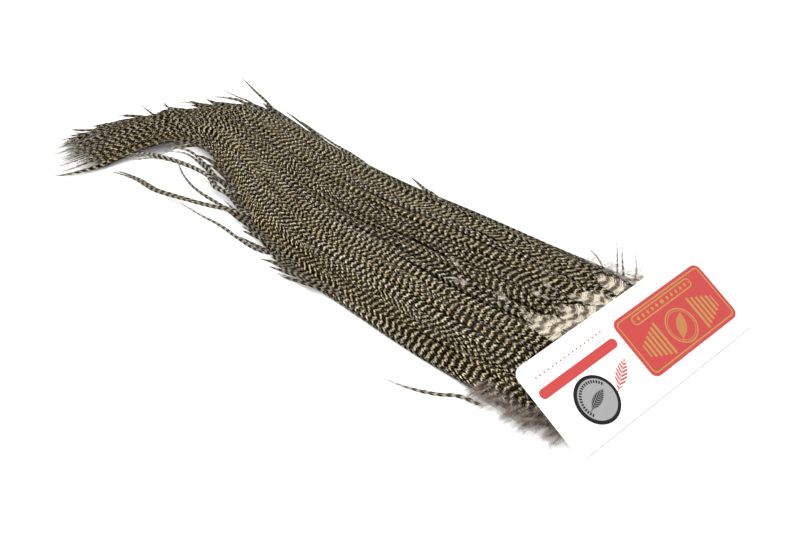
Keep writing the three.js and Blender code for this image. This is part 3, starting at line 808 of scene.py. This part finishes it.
# Stray hackles: single hackles that grow in the sheaf but stand clear of it, each a fine barbed blade.
# Each is listed from where it leaves the sheaf to its tip, in mm from the fold. Some head a small bundle.
STRAYS = {
    "card_corner": [(-240, 24, 7), (-261, 15, 8), (-280, 7, 8), (-300, 0, 8.5), (-316, -5, 9),
                    (-333, -6, 9.5), (-347, -7, 8), (-358, -8, 6)],
    "card_edge": [(-210, 10, 4), (-229, 2, 4), (-262, 2, 5), (-280, 0, 6), (-296, -1, 7)],
    "long_bundle": [(-262, 32, 10), (-287, 21, 9), (-303, 24, 11), (-321, 21, 13), (-335, 15, 15),
                    (-347, 12, 13), (-361, 6, 9)],
    "upper_bundle": [(-270, 34, 10), (-292, 27, 10), (-312, 29, 13), (-330, 30, 15), (-344, 24, 15)],
    "curl": [(-252, 22, 5), (-270, 16, 5), (-284, 14, 6), (-300, 13, 8), (-316, 16, 9.3), (-331, 22, 11)],
    "over_tail": [(-334, 42, 15), (-353, 41, 18), (-370, 46, 20.5), (-386, 51, 19.5)],
    "outer_long": [(-319, 92, 11), (-341, 100, 13), (-363, 105, 14), (-385, 111, 14)],
    "outer_second": [(-333, 92, 11), (-353, 94, 13), (-366, 92, 14), (-385, 92, 14)],
    "outer_third": [(-343, 90, 11), (-358, 91, 13), (-371, 87, 13), (-385, 79, 12)],
    "outer_fourth": [(-359, 79, 12), (-368, 75, 13), (-381, 69, 13), (-392, 63, 12)],
    "outer_fifth": [(-372, 65, 11), (-382, 60, 12), (-389, 58, 11), (-402, 57, 10)],
    "outer_sixth": [(-382, 47, 9), (-388, 46, 10), (-396, 47, 9), (-416, 50, 8)],
    "far_side": [(-238, 91, 13), (-251, 93, 13), (-278, 98, 10), (-307, 104, 8)],
    "far_short": [(-183, 93, 14), (-192, 94, 14), (-202, 98, 12), (-213, 103, 9)],
    "flap_tall": [(-50, 98, 15), (-55, 106, 20), (-60, 111, 23), (-67, 117, 24)],
    "flap_thin": [(-58, 100, 17), (-66, 109, 18), (-71, 115, 20), (-76, 120, 20)],
    "flap_short": [(-62, 100, 18), (-71, 111, 20), (-78, 119, 21)],
    "flap_low": [(-72, 100, 17), (-82, 106, 16), (-93, 110, 14)],
    "near_side": [(-168, 8, 4), (-182, 1, 4), (-203, -4, 3)],
    "lone": [(-63, -10, 7), (-73, -15, 5.5), (-87, -19, 3.5), (-104, -22, 2)],
}
STRAY_STEPS = 40
LOWEST_STRAY = 1.2
ROOT_DEPTH = 3.0
STRAY_HALF_WIDTH = 1.95
FLAP_STRAY_HALF_WIDTH = 1.1
STRAY_TAPER = (0.1, 0.55)
STRAY_FACING = (0.30, -0.42, 0.85)
STRAY_ROLL = 0.25
STRAY_BARB = {"Barb spacing": 0.00045, "Barb width": 0.5, "Barb points": 5, "Sweep": 1.1, "Droop": 0.25,
              "Frizz": 0.0004, "Wobble": 1.0, "Quill spacing": 0.004, "Quill width": 0.09}
STRAY_BARS = {"light": (0.31, 0.29, 0.25, 1.0), "golden": (0.22, 0.19, 0.13, 1.0), "paleness": 0.34}
BUNDLES = {"long_bundle": 5, "upper_bundle": 3, "card_corner": 4, "curl": 2, "outer_long": 2,
           "near_side": 2}
BUNDLE_SPREAD = 1.6
FIRST_STRAY_SEED = 100

stray_barred = hackle_material("stray_hackle", **STRAY_BARS)
for number, (name, knots) in enumerate(STRAYS.items()):
    chance = np.random.default_rng(FIRST_STRAY_SEED + number)
    root = 2 * np.array(knots[0], float) - knots[1]
    root[2] = knots[0][2] - ROOT_DEPTH
    count = BUNDLES.get(name, 1)
    t = np.linspace(0, 1, STRAY_STEPS)[None, :]
    aside = chance.normal(0, BUNDLE_SPREAD, (count, 1, 3)) * (np.arange(count) > 0)[:, None, None]
    middle = curve_through(np.array([root, *knots]), np.linspace(0, len(knots), STRAY_STEPS))
    points = middle[None] + aside * t[..., None]
    points[..., 2] = np.maximum(points[..., 2], LOWEST_STRAY)
    ups = rolled(STRAY_FACING, points, chance.normal(0, STRAY_ROLL, (count, 1)))
    broad = FLAP_STRAY_HALF_WIDTH if name.startswith("flap") else STRAY_HALF_WIDTH
    paths = hackle_paths(name, points, broad * vane_taper(t, *STRAY_TAPER), ups, chance.random(count))
    barb = {**STRAY_BARB, "Seed": number, "Material": stray_barred}
    piece = grow_hackles("single_hackle_" + name, paths, barb)
    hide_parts("stray_hackle_" + name)

# Flyaway tips: the last stretch of hackles that spring clear of the sheaf's far side, bend and near side.
# Each grows in the sheaf and bends outwards to its tip, a broad soft blade with dull bars.
FLYAWAYS = {
    "far": {"count": 30, "seed": 51, "side": 0.955, "share": (0.42, 0.87), "reach": (16, 34),
            "out": (2.5, 9.0)},
    "near": {"count": 40, "seed": 52, "side": 0.03, "share": (0.28, 0.60), "reach": (18, 36),
             "out": (5.0, 13.0)},
}
FLYAWAY_STEPS = 16
FLYAWAY_HALF_WIDTH = 1.9
FLYAWAY_WIDTHS = (0.7, 1.2)
FLYAWAY_TAPER = (0.05, 0.6)
FLYAWAY_ROLL = 0.3
FLYAWAY_BARB = {**STRAY_BARB, "Barb width": 0.8}
FLYAWAY_BARS = {"light": (0.18, 0.17, 0.14, 1.0), "golden": (0.13, 0.11, 0.07, 1.0), "paleness": 0.30}
SIDE_SPREAD = 0.03
EDGE_RISE = 0.9
LEAVE_POWER = 1.3
TIP_LIFTS = (-0.5, 2.5)
LOWEST_FLYAWAY = 1.5
SHEAF_LENGTH = 480


def flyaway_paths(count, seed, side, share, reach, out):
    """Short stretches that start on the sheaf's edge and leave it, with their tips outwards."""
    chance = np.random.default_rng(seed)
    t = np.linspace(0, 1, FLYAWAY_STEPS)[None, :]
    start = chance.uniform(*share, count)[:, None]
    length = chance.uniform(*reach, count)[:, None]
    u = side + SIDE_SPREAD * (chance.random(count)[:, None] - 0.5) + 0 * t
    shares = start + t * length / SHEAF_LENGTH
    on_edge = sheaf_points(u, shares, EDGE_RISE)
    outward = unit((on_edge - sheaf_points(0.5 + 0 * t, shares, EDGE_RISE)) * np.array([1, 1, 0]))
    leave = chance.uniform(*out, count)[:, None] * t**LEAVE_POWER
    rise = chance.uniform(*TIP_LIFTS, count)[:, None] * t
    points = on_edge + outward * leave[..., None] + rise[..., None] * np.array([0, 0, 1])
    points[..., 2] = np.maximum(points[..., 2], LOWEST_FLYAWAY)
    ups = rolled(STRAY_FACING, points, chance.normal(0, FLYAWAY_ROLL, (count, 1)))
    widths = FLYAWAY_HALF_WIDTH * chance.uniform(*FLYAWAY_WIDTHS, count)[:, None]
    return points, widths * vane_taper(t, *FLYAWAY_TAPER), ups, chance.random(count)


flyaway_barred = hackle_material("flyaway_hackle", **FLYAWAY_BARS)
for name, tips in FLYAWAYS.items():
    paths = hackle_paths("flyaway_tips_" + name, *flyaway_paths(**tips))
    barb = {**FLYAWAY_BARB, "Seed": tips["seed"], "Material": flyaway_barred}
    piece = grow_hackles("flyaway_tips_" + name, paths, barb)
    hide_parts("hackle_sheaf")

# Down: short plumes at the butt that spill past the card's near edge and past the sheaf's far side.
# A plume is a thin quill with long limp barbs that don't hold together, grey-brown with paler ends.
DOWN = {
    "near_down": {"count": 84, "seed": 31, "line": ((-11, 12), (-64, 10)), "heights": (2.5, 9.5),
                  "ways": (222, 268), "reach": (9, 20), "half_width": 5.5, "low": 2.6},
    "far_down": {"count": 44, "seed": 32, "line": ((-44, 101), (-84, 101)), "heights": (11, 18),
                 "ways": (62, 150), "reach": (8, 15), "half_width": 4.5, "low": 13.0},
}
DOWN_STEPS = 10
DOWN_BARB = {"Barb spacing": 0.00045, "Barb width": 0.055, "Barb points": 9, "Sweep": 0.9, "Droop": 0.1,
             "Frizz": 0.0035, "Wobble": 1.5, "Quill spacing": 0.004, "Quill width": 0.02}
DOWN_BARS = {
    "near_down": {"light": (0.27, 0.21, 0.165, 1.0), "golden": (0.19, 0.12, 0.075, 1.0),
                  "dark": (0.012, 0.006, 0.003, 1.0), "brown": (0.04, 0.02, 0.009, 1.0),
                  "paleness": 0.36, "pitch": 0.0075, "soft": 0.30, "slant": 0.001, "pale_ends": 0.25},
    "far_down": {"light": (0.70, 0.68, 0.64, 1.0), "golden": (0.55, 0.50, 0.44, 1.0),
                 "dark": (0.12, 0.09, 0.06, 1.0), "brown": (0.25, 0.2, 0.15, 1.0),
                 "paleness": 0.65, "pitch": 0.007, "soft": 0.7, "slant": 0.004, "pale_ends": 0.6},
}
DOWN_NAMES = {"near_down": "grey_down", "far_down": "white_down"}
DOWN_BEND = 2.5
DOWN_ROLL = 0.25
DOWN_WIDTHS = (0.7, 1.1)
DOWN_END_WIDTH = 0.35
DOWN_SWELL = 0.8
UNDER_FLAP = {"least": 1.2, "slope": 0.6}
UP = (0.0, 0.0, 1.0)


def down_plumes(count, seed, line, heights, ways, reach, half_width, low):
    """Plumes rooted along a line, each falling outwards in its own direction."""
    chance = np.random.default_rng(seed)
    t = np.linspace(0, 1, DOWN_STEPS)[None, :]
    place = ((np.arange(count) + chance.random(count)) / count)[:, None]
    root = (1 - place) * np.array(line[0]) + place * np.array(line[1])
    way = np.radians(chance.uniform(*ways, count))
    length = chance.uniform(*reach, count)[:, None]
    ahead = np.stack([np.cos(way), np.sin(way)], -1)[:, None]
    aside = np.stack([-np.sin(way), np.cos(way)], -1)[:, None]
    flat = root[:, None] + ahead * (length * t)[..., None]
    flat = flat + aside * (chance.normal(0, DOWN_BEND, count)[:, None] * t**2)[..., None]
    room = UNDER_FLAP["least"] + UNDER_FLAP["slope"] * -root[:, 0]
    height = np.minimum(chance.uniform(*heights, count), room)[:, None]
    z = height + (np.minimum(low, height) - height) * t**2
    points = np.concatenate([flat, z[..., None]], -1)
    ups = rolled(UP, points, chance.normal(0, DOWN_ROLL, (count, 1)))
    swell = DOWN_END_WIDTH + (1 - DOWN_END_WIDTH) * np.sin(math.pi * t**DOWN_SWELL)
    widths = half_width * chance.uniform(*DOWN_WIDTHS, count)[:, None] * swell
    return points, widths, ups, chance.random(count)


for name, plumes in DOWN.items():
    paths = hackle_paths(name + "_plumes", *down_plumes(**plumes))
    look = hackle_material(DOWN_NAMES[name], **DOWN_BARS[name])
    barb = {**DOWN_BARB, "Seed": plumes["seed"], "Material": look}
    piece = grow_hackles(name + "_plumes", paths, barb)
    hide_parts(name)

# Webby feathers: broad soft feathers at the butt that lie on the hackles beside the flap.
# Their barbs are long and loose, and cross bars of cream and grey-brown run over them.
WEB = {"count": 14, "seed": 41, "root_x": (-30.0, -28.8), "y": (34, 92), "reach": (27, 37),
       "half_width": 8.0, "above": 2.8, "layer": 0.5, "layers": 3}
WEB_SETTLE = 0.3
WEB_TURN = 0.3
WEB_BEND = 3.0
WEB_ROLL = 0.12
WEB_WIDTHS = (0.8, 1.1)
WEB_BLUNT = {"root": 0.6, "tip": 0.96, "power": 4}
WEB_TINT = {"middle": 0.5, "spread": 0.008}
WEB_TUFTS = ((-107, 42), (-82, 43), (-70, 59), (-66, 42), (-72, 66), (-120, 50))
TUFT = {"reach": 12.0, "half_width": 3.2, "above": 0.6}
WEB_BARB = {"Barb spacing": 0.00022, "Barb width": 0.06, "Barb points": 7, "Sweep": 0.4, "Droop": 0.06,
            "Frizz": 0.0055, "Wobble": 2.5, "Quill spacing": 0.004, "Quill width": 0.015}
WEB_BARS = {"light": (0.66, 0.61, 0.51, 1.0), "golden": (0.56, 0.50, 0.38, 1.0),
            "dark": (0.05, 0.035, 0.02, 1.0), "brown": (0.14, 0.10, 0.065, 1.0),
            "paleness": 0.52, "pitch": 0.0062, "soft": 0.45, "slant": -0.0030, "pale_ends": 0.1}


def on_sheaf(x, y, above):
    """Points on the sheaf's top near the butt, in mm, at places x y."""
    share = np.interp(-x, -SHEAF_ROWS[:, 0], np.arange(len(SHEAF_ROWS)) / (len(SHEAF_ROWS) - 1))
    rows = along_rows(share)
    u = np.clip((y - rows[..., 1]) / (rows[..., 3] - rows[..., 1]), LOCK_MARGIN, 1 - LOCK_MARGIN)
    z = rows[..., 4] + rows[..., 5] * dome(u) + above
    return np.stack([x, y, z], -1)


def with_tufts(webs, tufts):
    """One value for each broad feather and then for each small tuft, as a column."""
    return np.concatenate([webs, tufts])[:, None]


webby = hackle_material("webby_feather", **WEB_BARS)
chance = np.random.default_rng(WEB["seed"])
t = np.linspace(0, 1, DOWN_STEPS)[None, :]
broad = WEB["count"]
tufts = len(WEB_TUFTS)
count = broad + tufts
root_x = with_tufts(chance.uniform(*WEB["root_x"], broad), [x for x, _ in WEB_TUFTS])
root_y = with_tufts(np.linspace(*WEB["y"], broad), [y for _, y in WEB_TUFTS])
reach = with_tufts(chance.uniform(*WEB["reach"], broad), np.full(tufts, TUFT["reach"]))
width = with_tufts(np.full(broad, WEB["half_width"]), np.full(tufts, TUFT["half_width"]))
web_heights = WEB["above"] + WEB["layer"] * (np.arange(broad) * 2 % WEB["layers"])
above = with_tufts(web_heights, np.full(tufts, TUFT["above"]))
turn = chance.normal(0, WEB_TURN, (count, 1))
bend = chance.normal(0, WEB_BEND, (count, 1))
x = root_x - reach * t * np.cos(turn)
y = root_y + reach * t * np.sin(turn) + bend * t**2
points = on_sheaf(x, y, above * (1 - WEB_SETTLE * t))
ups = rolled(UP, points, chance.normal(0, WEB_ROLL, (count, 1)))
blunt = np.minimum(WEB_BLUNT["root"] + t, 1) * np.sqrt(1 - WEB_BLUNT["tip"] * t ** WEB_BLUNT["power"])
widths = width * chance.uniform(*WEB_WIDTHS, (count, 1)) * blunt
tints = WEB_TINT["middle"] + chance.normal(0, WEB_TINT["spread"], count)
paths = hackle_paths("webby_feathers", points, widths, ups, tints)
piece = grow_hackles("webby_feathers", paths, {**WEB_BARB, "Seed": WEB["seed"], "Material": webby})
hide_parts("hackle_sheaf")
